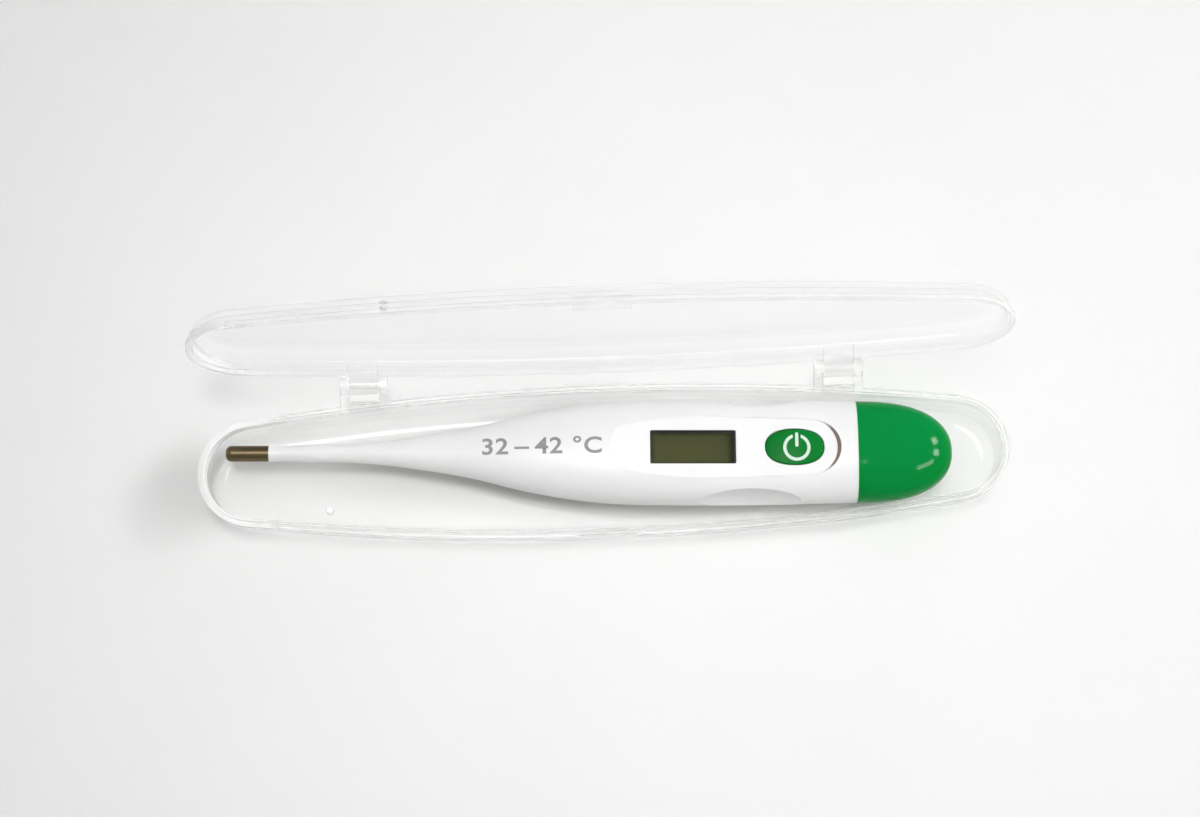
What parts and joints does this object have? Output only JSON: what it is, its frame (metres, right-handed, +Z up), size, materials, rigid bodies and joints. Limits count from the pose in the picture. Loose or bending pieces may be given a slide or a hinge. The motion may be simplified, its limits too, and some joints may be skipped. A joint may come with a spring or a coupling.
{
  "type": "digital stick thermometer with case",
  "caption": "Digital stick thermometer with a metal tip, display window, power button and battery cap, lying in its open hinged clear case.",
  "frame": {"origin": "centre of the flat underside of the case's base", "axes": "+X along the case towards the battery cap, +Y towards the case's hinge, +Z up out of the base"},
  "size_m": [0.1428, 0.0385, 0.0387],
  "materials": {
    "clear_plastic": "clear polished moulding",
    "white_plastic": "satin white moulding",
    "inner_white_plastic": "plain moulding",
    "green_plastic": "glossy green moulding",
    "green_soft_plastic": "soft glossy green",
    "icon_white": "white inlay",
    "tip_steel": "polished steel",
    "contact_steel": "bright sheet",
    "cell_steel": "bright sheet",
    "contact_brass": "bright sheet",
    "copper_wire": "enamelled wire",
    "window_plastic": "clear, flat and polished",
    "display_glass": "dark olive, polarised",
    "soft_rubber": "smooth rubber",
    "board_laminate": "solder mask",
    "resin": "cast resin",
    "component_ceramic": "fired ceramic"
  },
  "bodies": {
    "case": {"case_base": "clear_plastic"},
    "lid": {"case_lid": "clear_plastic"},
    "thermometer": {"housing": "white_plastic", "probe_tip": "tip_steel", "tip_potting": "resin", "sensor_bead": "resin", "sensor_leads": "copper_wire", "lcd_panel": "display_glass", "lcd_frame": "inner_white_plastic", "contact_strips": "soft_rubber", "circuit_board": "board_laminate", "chip_dome": "resin", "small_components": "component_ceramic", "buzzer": "contact_brass", "buzzer_springs": "contact_steel", "switch_dome": "contact_steel", "battery_tray": "inner_white_plastic", "battery_cell": "cell_steel", "battery_contact_positive": "contact_steel", "battery_contact_negative": "contact_steel", "cap_seal": "soft_rubber", "display_window": "window_plastic"},
    "button": {"power_button": "green_soft_plastic", "power_icon": "icon_white"},
    "cap": {"battery_cap": "green_plastic"}
  },
  "joints": [
    {"name": "lid_hinge", "type": "hinge", "parent": "case", "child": "lid", "pos_m": [0, 0.0151, 0.0098], "axis": [1, 0, 0], "range_deg": [0, 101.5]},
    {"name": "thermometer_lift", "type": "slide", "parent": "case", "child": "thermometer", "axis": [0, 0, 1], "range_m": [0, 0.04]},
    {"name": "button_press", "type": "slide", "parent": "thermometer", "child": "button", "axis": [0, 0, -1], "range_m": [0, 0.0005], "stiffness_N_per_m": 1500, "springref_m": -0.0002},
    {"name": "cap_pull", "type": "slide", "parent": "thermometer", "child": "cap", "axis": [0.9994, -0.0349, 0], "range_m": [0, 0.0044]}
  ]
}
